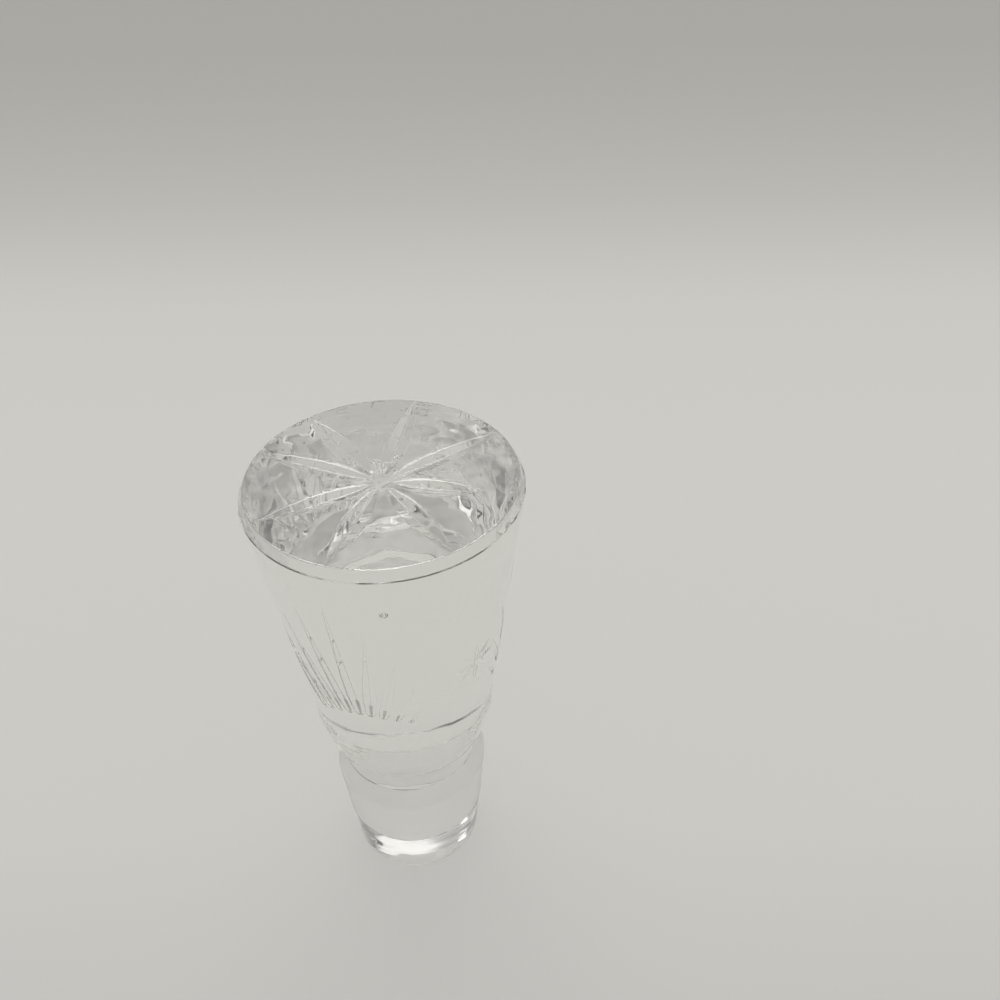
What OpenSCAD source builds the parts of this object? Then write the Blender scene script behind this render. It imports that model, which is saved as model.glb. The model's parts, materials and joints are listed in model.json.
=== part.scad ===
// Cut glass stopper: one solid piece of clear glass with a tapered ground shank.
// Origin: centre of the foot. +Z runs up the axis to the top face. Millimetres.

/* [Shank] */
// Largest diameter of the ground taper, at its shoulder
shank_d = 26.9; // [24:0.1:30]
// Slope of the taper, measured from the axis on one side
taper_angle = 4.6; // [2:0.1:6]
// Length of the frosted ground taper
ground_l = 10.9; // [8:0.1:16]
// Height of the clear polished foot below the ground taper
foot_h = 10.6; // [6:0.1:14]
// How far the polished foot stands inside the line of the taper
foot_step = 0.2; // [0.05:0.05:0.4]
// Radius of the foot's rounded edge
foot_round = 1.4; // [0.5:0.1:2.5]
// Height of the ground shoulder above the taper
shoulder_h = 3.6; // [2:0.1:5]

/* [Neck] */
// Diameter of the clear neck at its waist
neck_d = 23.8; // [20:0.1:24]
// Height of the neck, from the shoulder to the underside of the head
neck_h = 6; // [4:0.1:8]
// Radius of the hollow where the neck meets the head
neck_fillet = 1.2; // [0.5:0.1:1.6]

/* [Head] */
// Height of the head, from its underside to the top face
head_h = 53.9; // [46:0.1:62]
// Diameter of the head where its lower band ends and the flare begins
waist_d = 31; // [28:0.1:34]
// Height of the rounded lower band of the head
band_h = 9.9; // [7:0.1:11]
// Radius of the curve that the lower band follows
band_round = 27; // [25:0.5:60]
// Widest diameter of the head, at the bevel below the top face
head_d = 42; // [38:0.1:48]
// Width of the bevel round the top face
bevel_w = 0.8; // [0.3:0.1:1.5]
// Height of the bevel round the top face
bevel_h = 1.75; // [0.8:0.05:3]

/* [Star on the top face] */
// Number of cuts in the star
star_cuts = 8; // [5:1:10]
// Depth of each star cut at its middle
star_depth = 0.62; // [0.4:0.02:1]
// Direction of the first star cut
star_turn = 35; // [0:1:90]
// Plain glass left at the middle of the star
star_gap = 1.4; // [0.5:0.1:3]
// Distance that the star stands off the axis, towards the front
star_shift = 1.5; // [0:0.1:2]
// Plain glass left between the star and the bevel
star_margin = 0.6; // [0.2:0.1:2]

/* [Fans on the side] */
// Number of fans round the head
fans = 3; // [2:1:4]
// Direction that the first fan faces
fan_turn = 255; // [180:1:300]
// Blades on each side of a fan's middle blade
fan_side_blades = 4; // [2:1:5]
// Angle from one blade to the next
fan_step = 7.5; // [5:0.5:9]
// Lean of the middle blade off the upright
fan_tilt = -3; // [-6:0.5:6]
// Length of the middle blade
fan_length = 28; // [20:0.5:34]
// Length that each blade on the short side loses against its inner neighbour
fan_far_shortening = 5.8; // [3:0.1:8]
// Length that no blade falls below
fan_shortest = 4; // [3:0.5:6]
// Depth of the middle blade
fan_depth = 0.4; // [0.25:0.01:0.6]
// Distance of the blades' lower ends from the point that they spread from
fan_start = 15.5; // [12:0.5:20]
// Height of that point above the underside of the head
fan_root_h = 4; // [0:0.5:10]

/* [Small stars on the side] */
// Direction of each small star from the fan beside it
sprig_turn = 62; // [50:1:70]
// Height of the small stars above the underside of the head
sprig_h = 27; // [22:0.5:34]
// Strokes that cross in each small star
sprig_strokes = 4; // [3:1:5]
// Length of each stroke
sprig_length = 9; // [5:0.5:12]
// Depth of each stroke
sprig_depth = 0.22; // [0.15:0.01:0.4]

/* [Cutting wheel] */
// Half of the angle between the two sides of a mitre cut
mitre_half_angle = 72; // [60:1:78]

/* [Hidden] */

body_fn = 180;
wheel_fn = 240;
arc_steps = 8;
// The rim of a wheel is this many times deeper than its cut, so it clears the glass
wheel_clear = 2.5;
// The rim of a wheel rises at least by this share of its cut
least_rise = 0.4;
glass = [0.86, 0.89, 0.88, 0.55];

// The cuts are made by hand, so they stray from their marks. Going round the star, each turns off
// its even share of the circle by this much, and stops short of the edge by this much
star_slips = [0, 0, 2, -12, -8, -9, 0, 0];
star_short = [0, 0, 0, 0, 0.5, 0, 0, 4];
// Going round the head, each fan turns off its even share by this much, and each blade on its
// long side loses this much against its inner neighbour
fan_slips = [0, -6, 14];
fan_near_shortening = [3.2, 5.2, 6.5];

shoulder_z = foot_h + ground_l;
neck_z = shoulder_z + shoulder_h;
head_z = neck_z + neck_h;
waist_z = head_z + band_h;
stopper_h = head_z + head_h;
rim_z = stopper_h - bevel_h;
flare_angle = atan((head_d - waist_d) / 2 / (rim_z - waist_z));
face_r = head_d / 2 - bevel_w;

// Radius of the ground taper's own line at height z
function taper_r(z) = shank_d / 2 - (shoulder_z - z) * tan(taper_angle);
// Radius of the flared side of the head at height z
function flare_r(z) = waist_d / 2 + (z - waist_z) * tan(flare_angle);
// Points along an arc about centre c, from angle a0 to angle a1
function arc(c, r, a0, a1) =
    [for (i = [0:arc_steps]) let (a = a0 + (a1 - a0) * i / arc_steps) c + r * [cos(a), sin(a)]];

// The entry of a list for copy i, starting again where the list ends
function by_copy(list, i) = list[i % len(list)];

// Distance from a point on the front-to-back line to the top face's edge, in direction a
function edge_reach(shift, a) = let (along = shift * sin(a))
    along + sqrt(face_r * face_r - shift * shift + along * along);

// Half of the stopper's section, from the axis out
module section() {
    foot_r = taper_r(0) - foot_step;
    polygon(concat(
        [[0, 0]],
        arc([foot_r - foot_round, foot_round], foot_round, -90, 0),
        [
            [taper_r(foot_h) - foot_step, foot_h],
            [taper_r(foot_h), foot_h],
            [shank_d / 2, shoulder_z],
            [neck_d / 2, neck_z]
        ],
        arc([neck_d / 2 + neck_fillet, head_z - neck_fillet], neck_fillet, 180, 90),
        arc([waist_d / 2 - band_round, waist_z], band_round, -asin(band_h / band_round), 0),
        [[head_d / 2, rim_z], [face_r, stopper_h], [0, stopper_h]]
    ));
}

// The working sector of a mitre wheel, which cuts along X and dips below z = 0 by depth. Its rim
// rises by rise from its middle to its ends
module mitre_stroke(length, depth, rise) {
    wheel_r = (length * length / 4 + rise * rise) / (2 * rise);
    rim = depth * wheel_clear;
    swing = asin(length / 2 / wheel_r) * wheel_clear;
    translate([0, 0, wheel_r - depth]) rotate([90, 90 + swing, 0])
        rotate_extrude(angle = 2 * swing, $fn = wheel_fn)
            polygon([
                [wheel_r, 0],
                [wheel_r - rim, rim * tan(mitre_half_angle)],
                [wheel_r - rim, -rim * tan(mitre_half_angle)]
            ]);
}

// A stroke on the flared side, at direction turn and height z, leaning off the upright. A larger
// wheel makes up for what the round side falls away under a leaning stroke
module side_stroke(turn, z, lean, length, depth) {
    fall = pow(length / 2 * sin(lean), 2) / (2 * flare_r(z));
    rotate([0, 0, turn]) translate([flare_r(z), 0, z])
        rotate([0, flare_angle, 0]) rotate([-lean, 0, 0]) rotate([0, 90, 0])
            mitre_stroke(length, depth, max(depth - fall, depth * least_rise));
}

// The star of leaf-shaped cuts in the top face
module top_star()
    for (i = [0:star_cuts - 1]) {
        turn = star_turn + i * 360 / star_cuts + by_copy(star_slips, i);
        reach = edge_reach(star_shift, turn) - star_margin - by_copy(star_short, i);
        translate([0, -star_shift, stopper_h]) rotate([0, 0, turn])
            translate([(reach + star_gap) / 2, 0, 0])
                mitre_stroke(reach - star_gap, star_depth, star_depth);
    }

// One fan of blades, which spread from a point below them
module fan(turn, near_shortening)
    for (i = [-fan_side_blades:fan_side_blades]) {
        lean = fan_tilt + i * fan_step;
        loss = max(i * fan_far_shortening, -i * near_shortening);
        length = max(fan_shortest, fan_length - loss);
        middle = fan_start + length / 2;
        z = head_z + fan_root_h + middle * cos(lean);
        side = middle * sin(lean) / flare_r(z) * 180 / PI;
        side_stroke(turn + side, z, lean, length, fan_depth * sqrt(length / fan_length));
    }

// One small star of crossing strokes
module sprig(turn)
    for (i = [0:sprig_strokes - 1])
        side_stroke(turn, head_z + sprig_h, i * 180 / sprig_strokes, sprig_length, sprig_depth);

// The whole stopper: the turned body less every cut
module stopper()
    color(glass) difference() {
        rotate_extrude($fn = body_fn) section();
        top_star();
        for (i = [0:fans - 1]) {
            turn = fan_turn + i * 360 / fans + by_copy(fan_slips, i);
            fan(turn, by_copy(fan_near_shortening, i));
            sprig(turn + sprig_turn);
        }
    }

stopper();
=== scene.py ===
"""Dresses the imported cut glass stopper.

It builds the clear and ground glass, a pale sweep to stand on, soft light and a camera.
"""

from __future__ import annotations

import json
import logging
import math
from dataclasses import dataclass, field, replace
from enum import Enum
from typing import Callable, Iterable, Iterator

import bmesh
import bpy
import numpy as np
from mathutils import Matrix, Vector

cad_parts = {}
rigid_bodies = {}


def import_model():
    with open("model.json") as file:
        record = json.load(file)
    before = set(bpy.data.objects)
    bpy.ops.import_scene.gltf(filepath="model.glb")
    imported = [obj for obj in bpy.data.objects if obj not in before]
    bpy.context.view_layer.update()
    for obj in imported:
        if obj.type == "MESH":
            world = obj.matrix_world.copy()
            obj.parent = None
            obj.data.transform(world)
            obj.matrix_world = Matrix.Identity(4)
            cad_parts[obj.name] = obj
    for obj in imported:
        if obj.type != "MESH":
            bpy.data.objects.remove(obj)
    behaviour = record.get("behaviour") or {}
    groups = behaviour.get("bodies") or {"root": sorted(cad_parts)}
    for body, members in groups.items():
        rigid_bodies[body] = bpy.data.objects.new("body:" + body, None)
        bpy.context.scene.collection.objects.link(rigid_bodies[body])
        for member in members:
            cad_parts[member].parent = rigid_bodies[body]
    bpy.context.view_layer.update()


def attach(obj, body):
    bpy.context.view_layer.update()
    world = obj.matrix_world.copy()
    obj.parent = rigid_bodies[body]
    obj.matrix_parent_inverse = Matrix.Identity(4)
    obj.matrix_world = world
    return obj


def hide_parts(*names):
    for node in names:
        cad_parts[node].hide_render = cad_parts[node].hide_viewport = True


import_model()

MM = 0.001
NODE = "stopper"
BODY = "root"
LIGHT_BOUNCES = 48
GLASS_IOR = 1.52
# Lengths and slopes below this count as none
TINY = 1e-9

log = logging.getLogger("stopper")


class Zone(Enum):
    """The finishes that the glass carries, in the order of the mesh's material slots."""

    POLISHED = 0
    GROUND = 1
    CUT = 2
    # Painted shade: dark lines along the foot, the neck and the rim
    CREASE = 3
    SHOULDER = 4
    # Painted shade: grey glass along the lower ends of the fans' keels
    SOILED = 5

    @property
    def material_name(self) -> str:
        """Name of the zone's material."""
        return self.name.lower()


def zone_materials() -> list[bpy.types.Material]:
    """The zones' materials, in the order of their slots."""
    return [bpy.data.materials[zone.material_name] for zone in Zone]


def make_object(
    mesh: bmesh.types.BMesh,
    name: str,
    materials: Iterable[bpy.types.Material],
    collection: bpy.types.Collection,
) -> bpy.types.Object:
    """Turns a worked mesh into an object, and frees the mesh.

    Args:
        mesh: The worked mesh.
        name: Name of the object and of its data.
        materials: Its materials, in the order of their slots.
        collection: Where the object goes.

    Returns:
        The new object.
    """
    data = bpy.data.meshes.new(name)
    mesh.to_mesh(data)
    mesh.free()
    for material in materials:
        data.materials.append(material)
    made = bpy.data.objects.new(name, data)
    collection.objects.link(made)
    return made


def add_node(
    tree: bpy.types.NodeTree,
    kind: str,
    inputs: dict[str | int, bpy.types.NodeSocket | float | Vector],
    **options: str,
) -> bpy.types.Node:
    """Adds a node to a node tree.

    Args:
        tree: The node tree.
        kind: The node's type.
        inputs: What goes into its inputs, each a socket to link or a value.
        options: Its settings.

    Returns:
        The new node.
    """
    node = tree.nodes.new(kind)
    for name, option in options.items():
        setattr(node, name, option)
    for key, value in inputs.items():
        if isinstance(value, bpy.types.NodeSocket):
            tree.links.new(value, node.inputs[key])
        else:
            node.inputs[key].default_value = value
    return node


def calculate(
    tree: bpy.types.NodeTree, operation: str, *values: bpy.types.NodeSocket | float
) -> bpy.types.NodeSocket:
    """Adds a Math node, and gives the socket that carries its result."""
    node = add_node(tree, "ShaderNodeMath", dict(enumerate(values)), operation=operation)
    return node.outputs["Value"]


def add_noise(tree: bpy.types.NodeTree, scale: float, detail: float) -> bpy.types.NodeSocket:
    """Adds a cloudy noise that is fixed to the object.

    Args:
        tree: The node tree.
        scale: Clouds to the metre.
        detail: How ragged they are.

    Returns:
        The socket that carries its value.
    """
    place = tree.nodes.new("ShaderNodeTexCoord").outputs["Object"]
    inputs = {"Vector": place, "Scale": scale, "Detail": detail}
    return add_node(tree, "ShaderNodeTexNoise", inputs).outputs["Fac"]


# ---- The turned body ----


@dataclass(frozen=True)
class Span:
    """One stretch of the half section, straight or a short piece of an arc.

    Attributes:
        start: Radius and height of its first point, in millimetres.
        end: Radius and height of its last point, in millimetres.
        start_normal: Direction in the section that faces out of the glass at the first point.
        end_normal: The same at the last point.
        zone: The finish of the surface that it turns into.
    """

    start: tuple[float, float]
    end: tuple[float, float]
    start_normal: tuple[float, float]
    end_normal: tuple[float, float]
    zone: Zone = Zone.POLISHED


@dataclass(frozen=True)
class Section:
    """The stopper's half section, from the axis at the foot to the axis at the top face.

    Lengths are in millimetres.

    Attributes:
        shank_d: Largest diameter of the ground taper, at its shoulder.
        taper_angle: Slope of the taper, in degrees from the axis.
        ground_l: Length of the ground taper.
        foot_h: Height of the polished foot below it.
        foot_step: How far the foot stands inside the taper's line.
        foot_round: Radius of the foot's lower edge.
        shoulder_h: Height of the ground shoulder above the taper.
        neck_d: Diameter of the clear neck.
        neck_h: Height of the neck.
        neck_fillet: Radius of the hollow where the neck meets the head.
        head_h: Height of the head.
        waist_d: Diameter of the head where its lower band ends and the flare begins.
        band_h: Height of the rounded lower band.
        band_round: Radius of the curve that the band follows.
        head_d: Widest diameter of the head.
        bevel_w: Width of the bevel round the top face.
        bevel_h: Height of that bevel.
        rim_step: Width of the line along the head's widest circle that is painted dark as painted
            shade.
        crease: Height of the lines at the foot and the neck that are painted dark as painted shade.
        arris_round: Radius of the edge round the top face.
        edge_round: Radius of the edges at the shoulder and under the head.
        step_round: Radius of the foot's upper edge.
        crease_round: Radius of the corners beside the painted dark lines of neck and rim.
        rim_round: Radius of the head's widest edge.
        waist_round: Radius of the soft turn from the band to the flare.
        band_steps: Stretches that make up the band.
        band_corner: Radius of the turns between them, as a share of the band's own.
        arc_step: Most that one span of a rounding turns, in degrees.
        line_step: Greatest length of a straight span.
    """

    shank_d: float = 26.9
    taper_angle: float = 4.6
    ground_l: float = 10.9
    foot_h: float = 10.6
    foot_step: float = 0.2
    foot_round: float = 1.4
    shoulder_h: float = 3.6
    neck_d: float = 23.8
    neck_h: float = 6.0
    neck_fillet: float = 1.2
    head_h: float = 53.9
    waist_d: float = 31.0
    band_h: float = 9.9
    band_round: float = 27.0
    head_d: float = 42.0
    bevel_w: float = 0.8
    bevel_h: float = 1.75
    rim_step: float = 0.18
    crease: float = 0.2
    arris_round: float = 0.35
    edge_round: float = 0.7
    step_round: float = 0.15
    crease_round: float = 0.1
    rim_round: float = 0.2
    waist_round: float = 12.0
    band_steps: int = 6
    band_corner: float = 0.25
    arc_step: float = 9.0
    line_step: float = 1.6

    # A rounding takes no more than this share of the stretch on either side of it
    REACH = 0.45

    @property
    def shoulder_z(self) -> float:
        """Height of the upper end of the ground taper."""
        return self.foot_h + self.ground_l

    @property
    def neck_z(self) -> float:
        """Height where the shoulder meets the neck."""
        return self.shoulder_z + self.shoulder_h

    @property
    def head_z(self) -> float:
        """Height of the head's underside."""
        return self.neck_z + self.neck_h

    @property
    def waist_z(self) -> float:
        """Height where the lower band ends and the flare begins."""
        return self.head_z + self.band_h

    @property
    def top_z(self) -> float:
        """Height of the top face."""
        return self.head_z + self.head_h

    @property
    def rim_z(self) -> float:
        """Height of the head's widest circle."""
        return self.top_z - self.bevel_h

    @property
    def face_r(self) -> float:
        """Radius of the flat top face, out to the bevel."""
        return self.head_d / 2 - self.bevel_w

    @property
    def flare_angle(self) -> float:
        """Slope of the head's side, in radians from the axis."""
        return math.atan2((self.head_d - self.waist_d) / 2, self.rim_z - self.waist_z)

    def flare_r(self, z: float) -> float:
        """Radius of the head's flared side at height z."""
        return self.waist_d / 2 + (z - self.waist_z) * math.tan(self.flare_angle)

    def taper_r(self, z: float) -> float:
        """Radius of the ground taper's own line at height z."""
        return self.shank_d / 2 - (self.shoulder_z - z) * math.tan(math.radians(self.taper_angle))

    def band_r(self, below: float) -> float:
        """Radius of the lower band at a distance below the waist."""
        return self.waist_d / 2 - (self.band_round - math.sqrt(self.band_round**2 - below**2))

    def corners(self) -> list[tuple[float, float, float, Zone]]:
        """Lists the section's corners from the foot up.

        Returns:
            Radius, height and rounding radius of each corner, with the finish of the stretch that
            follows it.
        """
        # Stretches that carry Zone.CREASE are painted dark, as painted shade
        out = [
            (0.0, 0.0, 0.0, Zone.POLISHED),
            (self.taper_r(0) - self.foot_step, 0.0, self.foot_round, Zone.POLISHED),
            (self.taper_r(self.foot_h) - self.foot_step, self.foot_h, self.step_round, Zone.GROUND),
            (self.taper_r(self.foot_h), self.foot_h, 0.0, Zone.CREASE),
            (self.taper_r(self.foot_h + self.crease), self.foot_h + self.crease, 0.0, Zone.GROUND),
            (self.shank_d / 2, self.shoulder_z, self.edge_round, Zone.SHOULDER),
            (self.neck_d / 2, self.neck_z, self.crease_round, Zone.CREASE),
            (self.neck_d / 2, self.neck_z + self.crease, 0.0, Zone.POLISHED),
            (self.neck_d / 2, self.head_z, self.neck_fillet, Zone.POLISHED),
            (self.band_r(self.band_h), self.head_z, self.edge_round, Zone.POLISHED),
        ]
        corner = self.band_round * self.band_corner
        for i in range(1, self.band_steps):
            below = self.band_h * (1 - i / self.band_steps)
            out.append((self.band_r(below), self.waist_z - below, corner, Zone.POLISHED))
        line_r, line_z = self.head_d / 2 - self.rim_step, self.rim_z + self.rim_step / 2
        out += [
            (self.waist_d / 2, self.waist_z, self.waist_round, Zone.POLISHED),
            (self.head_d / 2, self.rim_z, self.rim_round, Zone.CREASE),
            (line_r, line_z, self.crease_round, Zone.POLISHED),
            (self.face_r, self.top_z, self.arris_round, Zone.POLISHED),
            (0.0, self.top_z, 0.0, Zone.POLISHED),
        ]
        return out

    def spans(self) -> list[Span]:
        """Turns the corners into straight stretches and rounded ones.

        Returns:
            The spans in order, each starting where the last one ends.
        """
        corners = self.corners()
        points = [np.array(c[:2]) for c in corners]
        cuts: list[tuple[np.ndarray, np.ndarray]] = [(points[0], points[0])]
        for before, here, after, corner in zip(points, points[1:], points[2:], corners[1:]):
            into = (before - here) / np.linalg.norm(before - here)
            away = (after - here) / np.linalg.norm(after - here)
            half = math.acos(float(np.clip(into @ away, -1, 1))) / 2
            room = self.REACH * min(np.linalg.norm(before - here), np.linalg.norm(after - here))
            reach = min(corner[2] / math.tan(half), room)
            cuts.append((here + into * reach, here + away * reach))
        cuts.append((points[-1], points[-1]))
        spans: list[Span] = []
        for i in range(len(points) - 1):
            start, end = cuts[i][1], cuts[i + 1][0]
            normal = self._normal(end - start)
            spans += self._line(start, end, normal, corners[i][3])
            if i + 2 < len(points) and np.linalg.norm(cuts[i + 1][1] - cuts[i + 1][0]) > TINY:
                following = self._normal(cuts[i + 2][0] - cuts[i + 1][1])
                spans += self._bend(end, cuts[i + 1][1], normal, following, corners[i + 1][3])
        return spans

    @staticmethod
    def _normal(direction: np.ndarray) -> np.ndarray:
        """The unit vector to the right of a direction, which faces out of the glass."""
        return np.array([direction[1], -direction[0]]) / np.linalg.norm(direction)

    def _line(self, start: np.ndarray, end: np.ndarray, normal: np.ndarray, zone: Zone) -> list[Span]:
        """Splits a straight stretch into spans no longer than line_step, unless it is level.

        Args:
            start: Where the stretch starts.
            end: Where it ends.
            normal: Its outward normal.
            zone: The finish that it carries.

        Returns:
            The spans along it.
        """
        level = abs(normal[0]) < TINY
        count = 1 if level else max(1, math.ceil(float(np.linalg.norm(end - start)) / self.line_step))
        marks = [start + (end - start) * i / count for i in range(count + 1)]
        face = tuple(normal)
        return [Span(tuple(a), tuple(b), face, face, zone) for a, b in zip(marks, marks[1:])]

    def _bend(
        self, start: np.ndarray, end: np.ndarray, first: np.ndarray, last: np.ndarray, zone: Zone
    ) -> list[Span]:
        """Splits the rounding between two straight stretches into short spans along its arc.

        Args:
            start: Where the rounding leaves the stretch before it.
            end: Where it joins the stretch after it.
            first: Outward normal of the stretch before it.
            last: Outward normal of the stretch after it.
            zone: The finish that it carries.

        Returns:
            The spans along the arc.
        """
        turn = math.atan2(first[0] * last[1] - first[1] * last[0], float(first @ last))
        radius = float(np.linalg.norm(end - start)) / (2 * math.sin(abs(turn) / 2))
        side = 1.0 if turn > 0 else -1.0
        centre = start - first * radius * side
        count = max(2, math.ceil(abs(math.degrees(turn)) / self.arc_step))
        marks = []
        for i in range(count + 1):
            a = turn * i / count
            c, s = math.cos(a), math.sin(a)
            normal = np.array([first[0] * c - first[1] * s, first[0] * s + first[1] * c])
            marks.append((centre + normal * radius * side, normal))
        return [
            Span(tuple(p), tuple(q), tuple(n), tuple(m), zone)
            for (p, n), (q, m) in zip(marks, marks[1:])
        ]


# ---- The cuts ----

Placer = Callable[[float, float, float], tuple[float, float, float]]


@dataclass(frozen=True)
class Stroke:
    """One pass of the mitre wheel: a V groove, pointed at both ends, with softened lips.

    Attributes:
        place: Maps a distance along the stroke, one across it and one out of the glass to a
            point, all in millimetres.
        length: Length from tip to tip.
        depth: Depth of the groove at its deepest.
        deepest: Where it is deepest, as a share of its length.
        half_angle: Half of the angle between its two flanks, in degrees.
        brow: Share of its depth that it drops just inside its lips.
        nick: Depth of the fine line along its keel, as a share of its depth.
        lip: Softness of its lips, as a share of its half width.
        soiled: Share of its length, from its lower end, whose keel is painted grey as painted shade.
        steps: Stations along the stroke.
    """

    place: Placer
    length: float
    depth: float
    deepest: float = 0.5
    half_angle: float = 72.0
    brow: float = 0.25
    nick: float = 0.25
    lip: float = 0.06
    soiled: float = 0.0
    steps: int = 26

    # Where one flank has its points, from beyond its lip to just beside the keel, in half widths
    FLANK = (
        -1.3, -1.15, -1.06, -1.02, -0.99, -0.96, -0.93, -0.9,
        -0.86, -0.8, -0.7, -0.5, -0.3, -0.12, -0.07, -0.03,
    )
    # How far the line along the keel and the painted shade there reach to each side, in half widths
    NICK_WIDTH = 0.07
    PAINTED_SHADE_WIDTH = 0.3
    # How late and steeply the brow drops
    BROW_POWER = 16
    # How far the lips end above the glass: a share of the depth, and some millimetres
    LIFT = 0.02
    RAISE = 0.004
    # Depth that sets the width at the very tips, in millimetres
    TIP_DEPTH = 0.02
    # How far the solid stands out of the glass: a share of the depth, and some millimetres
    CAP = 0.8
    CAP_OVER = 0.2

    def profile(self, x: float) -> float:
        """Gives the groove's depth across its width.

        Args:
            x: Place across the groove, in half widths from its middle.

        Returns:
            The depth there, as a share of the keel's.
        """
        x = abs(x)
        fall = (1 - self.brow) * (1 - x) + self.brow * (1 - x**self.BROW_POWER)
        soft = (fall + math.sqrt(fall * fall + self.lip**2)) / 2 - self.LIFT
        return soft + self.nick * max(0.0, 1 - x / self.NICK_WIDTH)

    def depth_at(self, t: float) -> float:
        """Gives the keel's depth, which is nothing at the tips and full at the deepest place.

        Args:
            t: Place along the stroke, as a share of its length.

        Returns:
            The depth there, in millimetres.
        """
        power = math.log(0.5) / math.log(self.deepest)
        s = t**power
        return self.depth * 4 * s * (1 - s)

    def build(self, name: str, bench: bpy.types.Collection) -> bpy.types.Object:
        """Builds the closed solid that is cut away.

        Args:
            name: Name of the cutter's mesh and object.
            bench: The collection that holds the cutters.

        Returns:
            The cutter.
        """
        across = [*self.FLANK, 0.0, *(-x for x in reversed(self.FLANK))]
        cap = self.CAP * self.depth + self.CAP_OVER
        mesh = bmesh.new()
        rings = []
        # The stations lie closer together towards the tips
        stations = [0.5 - 0.5 * math.cos(math.pi * i / self.steps) for i in range(self.steps + 1)]
        for t in stations:
            along = (t - 0.5) * self.length
            deep = max(self.depth_at(t), 0.0)
            half = max(deep, self.TIP_DEPTH) * math.tan(math.radians(self.half_angle))
            ring = [self.place(along, x * half, self.RAISE - deep * self.profile(x)) for x in across]
            ring += [self.place(along, x * half, cap) for x in (across[-1], across[0])]
            rings.append([mesh.verts.new(Vector(p) * MM) for p in ring])
        count = len(rings[0])
        # The keel of the stroke's lower end is painted grey, as painted shade
        keel = range(across.index(-self.PAINTED_SHADE_WIDTH), across.index(self.PAINTED_SHADE_WIDTH))
        for a, b, t in zip(rings, rings[1:], stations[1:]):
            for j in range(count):
                k = (j + 1) % count
                zone = Zone.SOILED if t <= self.soiled and j in keel else Zone.CUT
                mesh.faces.new((a[j], a[k], b[k], b[j])).material_index = zone.value
        for end in (tuple(reversed(rings[0])), tuple(rings[-1])):
            mesh.faces.new(end).material_index = Zone.CUT.value
        bmesh.ops.recalc_face_normals(mesh, faces=mesh.faces)
        return make_object(mesh, name, zone_materials(), bench)


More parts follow.
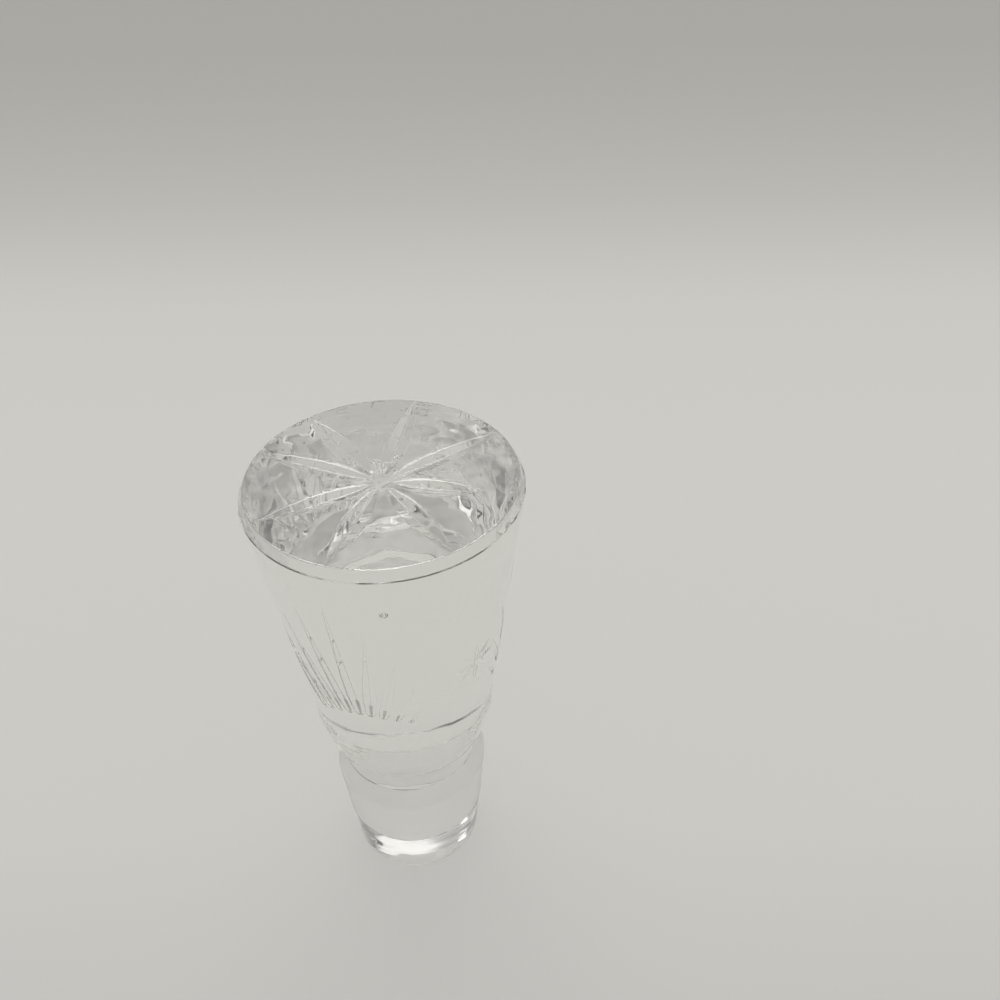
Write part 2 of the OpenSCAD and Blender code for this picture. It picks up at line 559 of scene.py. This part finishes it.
@dataclass(frozen=True)
class CutPattern:
    """Where every cut lies: the star on the top face, and the fans and small stars on the side.

    Lengths are in millimetres and angles in degrees. The cuts are made by hand, so they stray.

    Attributes:
        section: The section of the body that they are cut into.
        star_cuts: Cuts in the star.
        star_depth: Depth of each.
        star_turn: Direction of the first.
        star_gap: Plain glass left at the star's middle.
        star_shift: Distance of that middle from the axis, towards the front.
        star_margin: Plain glass left between the star and the bevel.
        star_slips: How far each cut turns off its even share of the circle.
        star_short: How far each stops short of the margin.
        star_deepest: Where a cut is deepest, as a share of its length.
        fans: Fans round the head.
        fan_turn: Direction that the first one faces.
        fan_slips: How far each turns off its even share of the circle.
        fan_side_blades: Blades on each side of the middle one.
        fan_step: Angle from one blade to the next.
        fan_tilt: Lean of the middle blade off the upright.
        fan_length: Length of the middle blade.
        fan_near_shortening: Length that each blade on the long side loses, fan by fan.
        fan_far_shortening: Length that each blade on the short side loses.
        fan_shortest: Length that no blade falls below.
        fan_depth: Depth of the middle blade.
        fan_start: Distance of the lower ends from the point that the blades spread from.
        fan_root_h: Height of that point above the underside of the head.
        fan_deepest: Where a blade is deepest, as a share of its length.
        fan_brow: Share of its depth that a blade drops just inside its lips.
        fan_painted_shade_end: Share of a blade's length, from its lower end, whose keel is painted grey
            as painted shade.
        sprig_turn: Direction of each small star from the fan beside it.
        sprig_h: Height of the small stars above the underside of the head.
        sprig_strokes: Strokes that cross in each.
        sprig_length: Length of each stroke.
        sprig_depth: Depth of each stroke.
        sprig_steps: Stations along each stroke.
    """

    section: Section
    star_cuts: int = 8
    star_depth: float = 0.62
    star_turn: float = 35.0
    star_gap: float = 1.4
    star_shift: float = 1.5
    star_margin: float = 0.6
    star_slips: tuple[float, ...] = (0.0, 0.0, 2.0, -12.0, -8.0, -9.0, 0.0, 0.0)
    star_short: tuple[float, ...] = (0.0, 0.0, 0.0, 0.0, 0.5, 0.0, 0.0, 4.0)
    star_deepest: float = 0.46
    fans: int = 3
    fan_turn: float = 255.0
    fan_slips: tuple[float, ...] = (0.0, -6.0, 14.0)
    fan_side_blades: int = 4
    fan_step: float = 7.5
    fan_tilt: float = -3.0
    fan_length: float = 28.0
    fan_near_shortening: tuple[float, ...] = (3.2, 5.2, 6.5)
    fan_far_shortening: float = 5.8
    fan_shortest: float = 4.0
    fan_depth: float = 0.4
    fan_start: float = 15.5
    fan_root_h: float = 4.0
    fan_deepest: float = 0.2
    fan_brow: float = 0.4
    fan_painted_shade_end: float = 0.13
    sprig_turn: float = 62.0
    sprig_h: float = 27.0
    sprig_strokes: int = 4
    sprig_length: float = 9.0
    sprig_depth: float = 0.22
    sprig_steps: int = 14

    def on_face(self, turn: float, middle: float) -> Placer:
        """Places a stroke on the top face.

        Args:
            turn: Direction of the stroke from the star's centre, in degrees.
            middle: Distance of its middle from that centre.

        Returns:
            The map from the stroke's own distances to a point.
        """
        c, s = math.cos(math.radians(turn)), math.sin(math.radians(turn))

        def place(along: float, across: float, out: float) -> tuple[float, float, float]:
            """Maps the stroke's own distances to a point."""
            r = middle + along
            return (r * c - across * s, r * s + across * c - self.star_shift, self.section.top_z + out)

        return place

    def on_side(self, turn: float, z: float, lean: float) -> Placer:
        """Places a stroke on the flared side, which it follows as the surface curves.

        Args:
            turn: Direction of its middle round the axis, in degrees.
            z: Height of its middle.
            lean: Angle off the upright, in degrees.

        Returns:
            The map from the stroke's own distances to a point.
        """
        slope = self.section.flare_angle
        c, s = math.cos(math.radians(lean)), math.sin(math.radians(lean))

        def place(along: float, across: float, out: float) -> tuple[float, float, float]:
            """Maps the stroke's own distances to a point."""
            side = along * s + across * c
            up = along * c - across * s
            height = z + up * math.cos(slope)
            r = self.section.flare_r(height)
            a = math.radians(turn) + side / r
            reach = r + out * math.cos(slope)
            return (reach * math.cos(a), reach * math.sin(a), height - out * math.sin(slope))

        return place

    def star(self) -> Iterator[Stroke]:
        """The leaf-shaped cuts of the top face, each from near the star's middle to near the bevel.

        Yields:
            Its cuts.
        """
        for i in range(self.star_cuts):
            turn = self.star_turn + i * 360 / self.star_cuts + self.star_slips[i]
            along = self.star_shift * math.sin(math.radians(turn))
            chord = math.sqrt(self.section.face_r**2 - self.star_shift**2 + along**2)
            reach = along + chord - self.star_margin - self.star_short[i]
            yield Stroke(
                self.on_face(turn, (reach + self.star_gap) / 2),
                reach - self.star_gap,
                self.star_depth,
                deepest=self.star_deepest,
            )

    def fan(self, facing: float, shortening: float) -> Iterator[Stroke]:
        """One fan of blades that spread upwards from a point below them.

        Args:
            facing: Direction of its middle blade round the axis, in degrees.
            shortening: How much shorter each blade is than the one before it, on the long side.

        Yields:
            Its blades.
        """
        for i in range(-self.fan_side_blades, self.fan_side_blades + 1):
            lean = self.fan_tilt + i * self.fan_step
            loss = max(i * self.fan_far_shortening, -i * shortening)
            length = max(self.fan_shortest, self.fan_length - loss)
            middle = self.fan_start + length / 2
            z = self.section.head_z + self.fan_root_h + middle * math.cos(math.radians(lean))
            side = math.degrees(middle * math.sin(math.radians(lean)) / self.section.flare_r(z))
            depth = self.fan_depth * math.sqrt(length / self.fan_length)
            yield Stroke(
                self.on_side(facing + side, z, lean),
                length,
                depth,
                deepest=self.fan_deepest,
                brow=self.fan_brow,
                soiled=self.fan_painted_shade_end,
            )

    def sprig(self, facing: float) -> Iterator[Stroke]:
        """One small star of strokes that cross at their middles.

        Args:
            facing: Direction of its middle round the axis, in degrees.

        Yields:
            Its strokes.
        """
        for i in range(self.sprig_strokes):
            lean = i * 180 / self.sprig_strokes
            yield Stroke(
                self.on_side(facing, self.section.head_z + self.sprig_h, lean),
                self.sprig_length,
                self.sprig_depth,
                steps=self.sprig_steps,
            )

    def strokes(self) -> list[Stroke]:
        """Lists every cut on the stopper.

        Returns:
            The star's cuts, then each fan's with its small star's.
        """
        found = list(self.star())
        for i in range(self.fans):
            facing = self.fan_turn + i * 360 / self.fans + self.fan_slips[i]
            found += list(self.fan(facing, self.fan_near_shortening[i]))
            found += list(self.sprig(facing + self.sprig_turn))
        return found


# ---- Finishes ----


@dataclass(frozen=True)
class GlassFinish:
    """A clear glass surface with its own polish.

    Attributes:
        zone: The part of the stopper that it dresses.
        clear: Share of the light that passes; the grain throws back the rest.
        tint: Colour that the glass gives to what is seen through it.
        roughness: Roughness of the surface.
        roughness_spread: How far the roughness varies.
        ripple: Height of the slow unevenness left by pressing and polishing, in metres.
        ripple_scale: Ripples to the metre.
        grain: Height of the fine grain, in metres.
        grain_scale: Grains to the metre.
        ior: Index of refraction.
    """

    zone: Zone
    clear: float = 1.0
    tint: tuple[float, float, float] = (0.965, 0.963, 0.945)
    roughness: float = 0.0
    roughness_spread: float = 0.0
    ripple: float = 0.0
    ripple_scale: float = 60.0
    grain: float = 0.0
    grain_scale: float = 4000.0
    ior: float = GLASS_IOR

    # How ragged the ripple, the grain and the clouds of rougher or smoother surface are
    RIPPLE_DETAIL = 1.0
    GRAIN_DETAIL = 3.0
    CLOUD_DETAIL = 2.0
    # Grains across one such cloud
    CLOUD_GRAINS = 12

    def build(self) -> bpy.types.Material:
        """Builds the material, named after its zone.

        Returns:
            The material.
        """
        material = bpy.data.materials.new(self.zone.material_name)
        material.use_nodes = True
        tree = material.node_tree
        shader = tree.nodes["Principled BSDF"]
        shader.inputs["Transmission Weight"].default_value = self.clear
        shader.inputs["IOR"].default_value = self.ior
        shader.inputs["Base Color"].default_value = (*self.tint, 1.0)
        shader.inputs["Roughness"].default_value = self.roughness
        target = shader.inputs["Normal"]
        for height, scale, detail in (
            (self.grain, self.grain_scale, self.GRAIN_DETAIL),
            (self.ripple, self.ripple_scale, self.RIPPLE_DETAIL),
        ):
            if height > 0:
                inputs = {"Distance": height, "Height": add_noise(tree, scale, detail)}
                bump = add_node(tree, "ShaderNodeBump", inputs)
                tree.links.new(bump.outputs["Normal"], target)
                target = bump.inputs["Normal"]
        if self.roughness_spread > 0:
            inputs = {
                "Value": add_noise(tree, self.grain_scale / self.CLOUD_GRAINS, self.CLOUD_DETAIL),
                "To Min": self.roughness - self.roughness_spread,
                "To Max": self.roughness + self.roughness_spread,
            }
            span = add_node(tree, "ShaderNodeMapRange", inputs)
            tree.links.new(span.outputs["Result"], shader.inputs["Roughness"])
        return material


@dataclass(frozen=True)
class CreaseFinish:
    """The fine lines where two surfaces meet, painted dark as painted shade and broken by a noise into
    dashes.

    Attributes:
        pale_gaps: Colour in the pale gaps between the dark dashes.
        painted_dark: Colour of the painted shade where it is darkest.
        painted_dark_up_to: Value of the noise up to which the painted shade is at its darkest.
        pale_gaps_from: Value of the noise from which the line is at its palest.
        patch_scale: Changes of colour to the metre.
        patch_detail: How ragged the patches are.
        clear: Share of the light that passes.
        roughness: Roughness of the surface.
        ior: Index of refraction.
    """

    pale_gaps: tuple[float, float, float] = (0.92, 0.91, 0.89)
    painted_dark: tuple[float, float, float] = (0.12, 0.12, 0.1)
    painted_dark_up_to: float = 0.42
    pale_gaps_from: float = 0.56
    patch_scale: float = 260.0
    patch_detail: float = 4.0
    clear: float = 0.6
    roughness: float = 0.5
    ior: float = GLASS_IOR

    def build(self) -> bpy.types.Material:
        """Builds the material, named after its zone.

        Returns:
            The material.
        """
        material = bpy.data.materials.new(Zone.CREASE.material_name)
        material.use_nodes = True
        tree = material.node_tree
        shader = tree.nodes["Principled BSDF"]
        shader.inputs["Transmission Weight"].default_value = self.clear
        shader.inputs["Roughness"].default_value = self.roughness
        shader.inputs["IOR"].default_value = self.ior
        # The noise breaks the painted shade into dark dashes with pale gaps
        patches = add_noise(tree, self.patch_scale, self.patch_detail)
        ramp = add_node(tree, "ShaderNodeValToRGB", {"Fac": patches})
        first, last = ramp.color_ramp.elements
        first.position, first.color = self.painted_dark_up_to, (*self.painted_dark, 1.0)
        last.position, last.color = self.pale_gaps_from, (*self.pale_gaps, 1.0)
        tree.links.new(ramp.outputs["Color"], shader.inputs["Base Color"])
        return material


@dataclass(frozen=True)
class PaperFinish:
    """The matt paper of the sweep, painted darker towards the front and where it curves up behind, as
    painted shade.

    Attributes:
        tones_with_painted_shade: Distance behind the stopper, along the paper, and the paper's colour
            there, with painted shade towards the front and up the curve.
        glow: Share of its brightness that it keeps in the stopper's shade, as the eye sees it.
        glow_in_glass: The same, as clear glass shows it.
        glow_in_frost: The same, as frosted glass shows it.
    """

    tones_with_painted_shade: tuple[tuple[float, tuple[float, float, float]], ...] = (
        (-0.16, (0.5, 0.49, 0.465)),
        (-0.05, (0.545, 0.536, 0.513)),
        (0.0, (0.62, 0.61, 0.584)),
        (0.21, (0.632, 0.626, 0.595)),
        (0.30, (0.515, 0.513, 0.486)),
        (0.42, (0.435, 0.43, 0.402)),
    )
    glow: float = 0.6
    glow_in_glass: float = 0.61
    glow_in_frost: float = 1.0

    def build(self) -> bpy.types.Material:
        """Builds the paper's material.

        Returns:
            The material.
        """
        material = bpy.data.materials.new("sweep_paper")
        material.use_nodes = True
        tree = material.node_tree
        tree.nodes.remove(tree.nodes["Principled BSDF"])
        place = tree.nodes.new("ShaderNodeTexCoord").outputs["Object"]
        split = add_node(tree, "ShaderNodeSeparateXYZ", {"Vector": place})
        along = calculate(tree, "ADD", split.outputs["Y"], split.outputs["Z"])
        first, last = self.tones_with_painted_shade[0][0], self.tones_with_painted_shade[-1][0]
        inputs = {"Value": along, "From Min": first, "From Max": last}
        span = add_node(tree, "ShaderNodeMapRange", inputs)
        # The paper's colour along it, painted darker towards the front and up the curve as painted
        # shade
        ramp = add_node(tree, "ShaderNodeValToRGB", {"Fac": span.outputs["Result"]})
        ramp.color_ramp.interpolation = "B_SPLINE"
        elements = ramp.color_ramp.elements
        for distance, _ in self.tones_with_painted_shade[1:-1]:
            elements.new((distance - first) / (last - first))
        for element, (_, colour) in zip(elements, self.tones_with_painted_shade):
            element.color = (*colour, 1.0)
        path = tree.nodes.new("ShaderNodeLightPath")
        inputs = {
            "Value": path.outputs["Is Singular Ray"],
            "To Min": self.glow_in_frost,
            "To Max": self.glow_in_glass,
        }
        in_glass = add_node(tree, "ShaderNodeMapRange", inputs)
        inputs = {
            "Value": path.outputs["Is Camera Ray"],
            "To Min": in_glass.outputs["Result"],
            "To Max": self.glow,
        }
        share = add_node(tree, "ShaderNodeMapRange", inputs)
        seen = seen_by(tree, "Is Glossy Ray", "Is Transmission Ray")
        matt = add_node(tree, "ShaderNodeBsdfDiffuse", {"Color": ramp.outputs["Color"]})
        glow = add_node(tree, "ShaderNodeEmission", {"Color": ramp.outputs["Color"]})
        inputs = {
            0: calculate(tree, "MULTIPLY", share.outputs["Result"], seen),
            1: matt.outputs["BSDF"],
            2: glow.outputs["Emission"],
        }
        mix = add_node(tree, "ShaderNodeMixShader", inputs)
        tree.links.new(mix.outputs["Shader"], tree.nodes["Material Output"].inputs["Surface"])
        return material


def seen_by(tree: bpy.types.NodeTree, *kinds: str) -> bpy.types.NodeSocket:
    """Tells the rays by which the eye or the glass sees a surface from those that light it.

    Args:
        tree: The node tree that asks.
        kinds: The kinds of ray that count besides the camera's own, as the Light Path node names them.

    Returns:
        The socket that carries 1 for such a ray, and 0 for any other.
    """
    path = tree.nodes.new("ShaderNodeLightPath")
    total = path.outputs["Is Camera Ray"]
    for name in kinds:
        total = calculate(tree, "MAXIMUM", total, path.outputs[name])
    # A ray that a matt surface has scattered lights, and isn't seen
    unscattered = calculate(tree, "LESS_THAN", path.outputs["Diffuse Depth"], 0.5)
    return calculate(tree, "MULTIPLY", total, unscattered)


# ---- Pieces ----


@dataclass(frozen=True)
class Seed:
    """One small bubble caught in the glass, in degrees and millimetres.

    Attributes:
        turn: Its direction round the axis.
        z: Its height.
        under: How deep its middle lies under the surface.
        width: Its width.
        height: Its height from top to bottom.
        sides: Faces round its wall.
        rows: Faces from its top to its bottom.
    """

    turn: float
    z: float
    under: float
    width: float
    height: float
    sides: int = 24
    rows: int = 16

    def add_to(self, mesh: bmesh.types.BMesh, section: Section) -> None:
        """Adds the bubble's wall to the body's mesh, facing into the bubble.

        Args:
            mesh: The body's mesh.
            section: The section that it was turned from.
        """
        a = math.radians(self.turn)
        r = section.flare_r(self.z) - self.under
        place = Matrix.Translation(Vector((r * math.cos(a), r * math.sin(a), self.z)) * MM)
        size = Matrix.Diagonal((self.width * MM, self.width * MM, self.height * MM, 1.0))
        made = bmesh.ops.create_uvsphere(
            mesh, u_segments=self.sides, v_segments=self.rows, radius=0.5, matrix=place @ size
        )
        wall = {face for vert in made["verts"] for face in vert.link_faces}
        bmesh.ops.reverse_faces(mesh, faces=list(wall))
        for face in wall:
            face.material_index = Zone.CUT.value


@dataclass
class CutGlassStopper:
    """The stopper itself: a turned body of glass with its cuts taken out of it.

    Attributes:
        section: The half section that it is turned from.
        seeds: The bubbles in it.
        segments: Faces round the axis.
    """

    section: Section = field(default_factory=Section)
    seeds: tuple[Seed, ...] = (Seed(turn=-87.0, z=76.0, under=1.0, width=1.3, height=1.0),)
    segments: int = 320

    def build(self) -> bpy.types.Object:
        """Builds the glass as one mesh, dressed by zone, and gives it to its CAD body.

        Returns:
            The finished piece.
        """
        spans = self.section.spans()
        piece = self._turn(spans)
        strokes = CutPattern(self.section).strokes()
        self._cut(piece, strokes)
        self._smooth(piece.data, spans)
        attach(piece, BODY)
        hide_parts(NODE)
        log.info("glass body: %d cuts", len(strokes))
        return piece

    def _turn(self, spans: list[Span]) -> bpy.types.Object:
        """Turns the section about the axis into a closed mesh.

        Args:
            spans: The section's spans.

        Returns:
            The uncut body.
        """
        mesh = bmesh.new()
        angles = [2 * math.pi * i / self.segments for i in range(self.segments)]
        rings = []
        for span in spans[:-1]:
            r, z = span.end
            rings.append(
                [mesh.verts.new((r * math.cos(a) * MM, r * math.sin(a) * MM, z * MM)) for a in angles]
            )
        foot = mesh.verts.new((0, 0, spans[0].start[1] * MM))
        top = mesh.verts.new((0, 0, spans[-1].end[1] * MM))
        for i in range(self.segments):
            k = (i + 1) % self.segments
            mesh.faces.new((foot, rings[0][k], rings[0][i])).material_index = spans[0].zone.value
            for a, b, span in zip(rings, rings[1:], spans[1:]):
                mesh.faces.new((a[i], a[k], b[k], b[i])).material_index = span.zone.value
            mesh.faces.new((top, rings[-1][i], rings[-1][k])).material_index = spans[-1].zone.value
        for seed in self.seeds:
            seed.add_to(mesh, self.section)
        return make_object(mesh, "cut_glass_stopper", zone_materials(), bpy.context.scene.collection)

    @staticmethod
    def _cut(piece: bpy.types.Object, strokes: list[Stroke]) -> None:
        """Takes every stroke out of the body, and deletes the cutters.

        Args:
            piece: The uncut body.
            strokes: The cuts.
        """
        bench = bpy.data.collections.new("cutters")
        bpy.context.scene.collection.children.link(bench)
        cutters = [stroke.build(f"stroke_{i}", bench) for i, stroke in enumerate(strokes)]
        boolean = piece.modifiers.new("cuts", "BOOLEAN")
        boolean.operation = "DIFFERENCE"
        boolean.solver = "MANIFOLD"
        boolean.operand_type = "COLLECTION"
        boolean.collection = bench
        graph = bpy.context.evaluated_depsgraph_get()
        cut = bpy.data.meshes.new_from_object(piece.evaluated_get(graph))
        piece.modifiers.clear()
        old = piece.data
        piece.data = cut
        bpy.data.meshes.remove(old)
        for cutter in cutters:
            data = cutter.data
            bpy.data.objects.remove(cutter)
            bpy.data.meshes.remove(data)
        bpy.data.collections.remove(bench)

    def _smooth(self, mesh: bpy.types.Mesh, spans: list[Span]) -> None:
        """Gives the turned surfaces their true normals, and lets the cuts keep their own.

        Args:
            mesh: The body's mesh after its cuts.
            spans: The section that it was turned from.
        """
        faces, loops = len(mesh.polygons), len(mesh.loops)
        zone = np.empty(faces, np.int32)
        mesh.polygons.foreach_get("material_index", zone)
        centre = np.empty(faces * 3)
        mesh.polygons.foreach_get("center", centre)
        centre = centre.reshape(-1, 3) / MM
        total = np.empty(faces, np.int32)
        mesh.polygons.foreach_get("loop_total", total)
        owner = np.repeat(np.arange(faces), total)
        vertex = np.empty(loops, np.int32)
        mesh.loops.foreach_get("vertex_index", vertex)
        co = np.empty(len(mesh.vertices) * 3)
        mesh.vertices.foreach_get("co", co)
        co = co.reshape(-1, 3)[vertex] / MM

        # The span that lies nearest to each face, told by radius and height
        a = np.array([s.start for s in spans])
        b = np.array([s.end for s in spans])
        na = np.array([s.start_normal for s in spans])
        nb = np.array([s.end_normal for s in spans])
        flat = np.stack([np.hypot(centre[:, 0], centre[:, 1]), centre[:, 2]], 1)
        edge = b - a
        t = np.einsum("fsk,sk->fs", flat[:, None] - a[None], edge) / np.einsum("sk,sk->s", edge, edge)
        near = a[None] + np.clip(t, 0, 1)[..., None] * edge[None]
        span = np.argmin(np.linalg.norm(flat[:, None] - near, axis=2), axis=1)[owner]

        # The normal at each face's corners, blended along that span and turned round the axis
        point = np.stack([np.hypot(co[:, 0], co[:, 1]), co[:, 2]], 1)
        run = edge[span]
        share = np.einsum("lk,lk->l", point - a[span], run) / np.einsum("lk,lk->l", run, run)
        share = np.clip(share, 0, 1)[:, None]
        normal = na[span] * (1 - share) + nb[span] * share
        normal /= np.linalg.norm(normal, axis=1)[:, None]
        turn = np.arctan2(co[:, 1], co[:, 0])
        normals = np.stack([normal[:, 0] * np.cos(turn), normal[:, 0] * np.sin(turn), normal[:, 1]], 1)
        # A normal of no length leaves the corner as it is
        normals[np.isin(zone[owner], (Zone.CUT.value, Zone.SOILED.value))] = 0

        mesh.polygons.foreach_set("use_smooth", [True] * faces)
        self._mark_lips(mesh, zone)
        mesh.normals_split_custom_set(normals.tolist())
        mesh.update()

    @staticmethod
    def _mark_lips(mesh: bpy.types.Mesh, zone: np.ndarray) -> None:
        """Marks the edges where one zone meets another as sharp.

        Args:
            mesh: The body's mesh.
            zone: The zone of each of its faces.
        """
        work = bmesh.new()
        work.from_mesh(mesh)
        work.faces.ensure_lookup_table()
        for edge in work.edges:
            sides = [zone[f.index] for f in edge.link_faces]
            edge.smooth = len(sides) == 2 and sides[0] == sides[1]
        work.to_mesh(mesh)
        work.free()


@dataclass
class Sweep:
    """The pale paper that the stopper stands on, which curves up behind it.

    Attributes:
        front: Distance that it runs towards the viewer, in metres.
        back: Distance behind the stopper where it starts to curve up.
        curve: Radius of that curve.
        height: Height of its top edge.
        half_width: Half of its width.
        gap: The thin layer of air between it and the polished foot.
        curve_steps: Faces along the curve.
    """

    front: float = 3.0
    back: float = 0.24
    curve: float = 0.2
    height: float = 0.3
    half_width: float = 3.0
    gap: float = 0.0001
    curve_steps: int = 24

    def build(self) -> bpy.types.Object:
        """Returns:
            The sweep.
        """
        outline = [(-self.front, -self.gap), (self.back, -self.gap)]
        for i in range(1, self.curve_steps + 1):
            a = math.pi / 2 * i / self.curve_steps
            rise = self.curve * (1 - math.cos(a)) - self.gap
            outline.append((self.back + self.curve * math.sin(a), rise))
        outline.append((self.back + self.curve, self.height))
        mesh = bmesh.new()
        left = [mesh.verts.new((-self.half_width, y, z)) for y, z in outline]
        right = [mesh.verts.new((self.half_width, y, z)) for y, z in outline]
        for i in range(len(outline) - 1):
            mesh.faces.new((left[i], right[i], right[i + 1], left[i + 1])).smooth = True
        sweep = make_object(mesh, "paper_sweep", [PaperFinish().build()], bpy.context.scene.collection)
        return sweep


@dataclass(frozen=True)
class RoomPatch:
    """A soft-edged patch of the room that is lighter or darker than the rest.

    Attributes:
        azimuth: Direction of its middle round the upright, from the right towards the back, in degrees.
        elevation: Height of its middle over the horizon, in degrees.
        inner: Angle from that direction up to which it is at full strength, in degrees.
        outer: Angle at which it has faded out, in degrees.
        strength: Its brightness.
    """

    azimuth: float
    elevation: float
    inner: float
    outer: float
    strength: float

    @property
    def towards(self) -> Vector:
        """Direction of its middle."""
        a, e = math.radians(self.azimuth), math.radians(self.elevation)
        return Vector((math.cos(a) * math.cos(e), math.sin(a) * math.cos(e), math.sin(e)))


@dataclass(frozen=True)
class SoftRoom:
    """The pale room all round, which lights the stopper and is what the glass shows.

    Attributes:
        level: Brightness of the room where nothing else is said, as the glass shows it.
        tint: Colour of all its light.
        shown: What stands out in it, as the glass shows it.
        dome: Brightness of the even light that falls on everything.
        lights: What stands out in that light.
        glints: Bright patches that only polished surfaces mirror and that light nothing: painted
            glints.
    """

    level: float = 0.08
    tint: tuple[float, float, float] = (1.0, 0.99, 0.965)
    shown: tuple[RoomPatch, ...] = (
        RoomPatch(0.0, -90.0, 98.0, 118.0, 0.4),
        RoomPatch(85.0, 59.0, 18.0, 26.0, 1.05),
        RoomPatch(-62.0, 74.0, 14.0, 28.0, 0.7),
        RoomPatch(35.0, 57.0, 3.0, 6.0, 0.25),
        RoomPatch(140.0, 57.0, 8.0, 22.0, 0.5),
        RoomPatch(152.0, 57.0, 2.0, 4.0, 2.5),
    )
    dome: float = 0.72
    lights: tuple[RoomPatch, ...] = (RoomPatch(97.0, 72.0, 10.0, 24.0, 3.7),)
    glints: tuple[RoomPatch, ...] = (
        RoomPatch(-90.0, 84.0, 16.0, 22.0, 11.0),
        RoomPatch(165.0, 58.0, 12.0, 18.0, 7.0),
        RoomPatch(28.0, 58.0, 12.0, 18.0, 7.0),
    )

    def build(self) -> bpy.types.World:
        """Builds the world and gives it to the scene.

        Returns:
            The world.
        """
        world = bpy.data.worlds.new("soft_room")
        world.use_nodes = True
        tree = world.node_tree
        back = tree.nodes["Background"]
        seen = seen_by(tree, "Is Singular Ray")
        path = tree.nodes.new("ShaderNodeLightPath")
        mirrored = calculate(tree, "MULTIPLY", seen, path.outputs["Is Reflection Ray"])
        inputs = {
            "Factor": seen,
            "A": self._pattern(tree, self.dome, self.lights),
            "B": self._pattern(tree, self.level, self.shown),
        }
        shown = add_node(tree, "ShaderNodeMix", inputs)
        # Painted glints, seen only in mirror reflections and lighting nothing
        glints = self._pattern(tree, 0.0, self.glints)
        total = calculate(tree, "MULTIPLY_ADD", glints, mirrored, shown.outputs["Result"])
        tree.links.new(total, back.inputs["Strength"])
        back.inputs["Color"].default_value = (*self.tint, 1.0)
        bpy.context.scene.world = world
        return world

    @staticmethod
    def _pattern(
        tree: bpy.types.NodeTree, level: float, patches: tuple[RoomPatch, ...]
    ) -> bpy.types.NodeSocket | float:
        """Lays patches over an even brightness.

        Args:
            tree: The world's node tree.
            level: The even brightness.
            patches: The patches, each over the ones before it.

        Returns:
            The socket that carries the brightness in each direction, or the even brightness
            where there is no patch.
        """
        place = tree.nodes.new("ShaderNodeTexCoord").outputs["Generated"]
        total: bpy.types.NodeSocket | float = level
        for patch in patches:
            inputs = {0: place, 1: patch.towards}
            facing = add_node(tree, "ShaderNodeVectorMath", inputs, operation="DOT_PRODUCT")
            inputs = {
                "Value": facing.outputs["Value"],
                "From Min": math.cos(math.radians(patch.outer)),
                "From Max": math.cos(math.radians(patch.inner)),
            }
            span = add_node(tree, "ShaderNodeMapRange", inputs, interpolation_type="SMOOTHSTEP")
            inputs = {"Factor": span.outputs["Result"], "A": total, "B": patch.strength}
            total = add_node(tree, "ShaderNodeMix", inputs).outputs["Result"]
        return total


@dataclass(frozen=True)
class StandingCamera:
    """The camera, held above the stopper and a little to its right, looking down at it.

    Attributes:
        at: Where it stands, in metres.
        tilt: Angle that it looks down, in degrees.
        roll: Angle that it is turned about its line of sight, in degrees.
        lens: Its focal length, in millimetres.
        sensor: Width of its sensor, in millimetres.
        near: Nearest distance that it sees, in metres.
        far: Farthest distance that it sees, in metres.
    """

    at: tuple[float, float, float] = (0.01714, -0.11587, 0.17348)
    tilt: float = 38.88
    roll: float = -0.97
    lens: float = 36.0
    sensor: float = 36.0
    near: float = 0.005
    far: float = 20.0

    def build(self) -> bpy.types.Object:
        """Sets up the camera as the scene's own.

        Returns:
            The camera.
        """
        data = bpy.data.cameras.new("camera")
        data.lens = self.lens
        data.sensor_width = self.sensor
        data.clip_start, data.clip_end = self.near, self.far
        camera = bpy.data.objects.new("camera", data)
        down = Matrix.Rotation(math.radians(90 - self.tilt), 4, "X")
        turned = down @ Matrix.Rotation(math.radians(self.roll), 4, "Z")
        camera.matrix_world = Matrix.Translation(self.at) @ turned
        bpy.context.scene.collection.objects.link(camera)
        bpy.context.scene.camera = camera
        return camera


def follow_light(bounces: int) -> None:
    """Lets light turn often enough inside solid glass to find its way out again.

    Args:
        bounces: How many times a ray may turn.
    """
    cycles = bpy.context.scene.cycles
    cycles.max_bounces = bounces
    cycles.glossy_bounces = bounces
    cycles.transmission_bounces = bounces


def main() -> None:
    """Builds the camera, the finishes, the stopper, the stage and the light, in that order."""
    logging.basicConfig(level=logging.INFO, format="%(name)s: %(message)s")
    bpy.context.scene.view_settings.view_transform = "Standard"
    follow_light(LIGHT_BOUNCES)
    StandingCamera().build()
    ground = GlassFinish(
        Zone.GROUND,
        clear=0.55,
        tint=(1.0, 1.0, 0.985),
        roughness=0.9,
        roughness_spread=0.06,
        grain=0.00001,
        grain_scale=6000.0,
    )
    for finish in (
        GlassFinish(Zone.POLISHED, ripple=0.00025, ripple_scale=170.0),
        ground,
        GlassFinish(Zone.CUT, ripple=0.00003, ripple_scale=300.0),
        replace(ground, zone=Zone.SHOULDER, clear=0.85),
        # Grey glass at the lower ends of the fans' keels: painted shade
        GlassFinish(Zone.SOILED, tint=(0.5, 0.5, 0.48), clear=0.9, roughness=0.3),
        CreaseFinish(),
    ):
        finish.build()
    for piece in (CutGlassStopper().build(), Sweep().build()):
        log.info("%s: %d faces", piece.name, len(piece.data.polygons))
    SoftRoom().build()


if __name__ == "__main__":
    main()
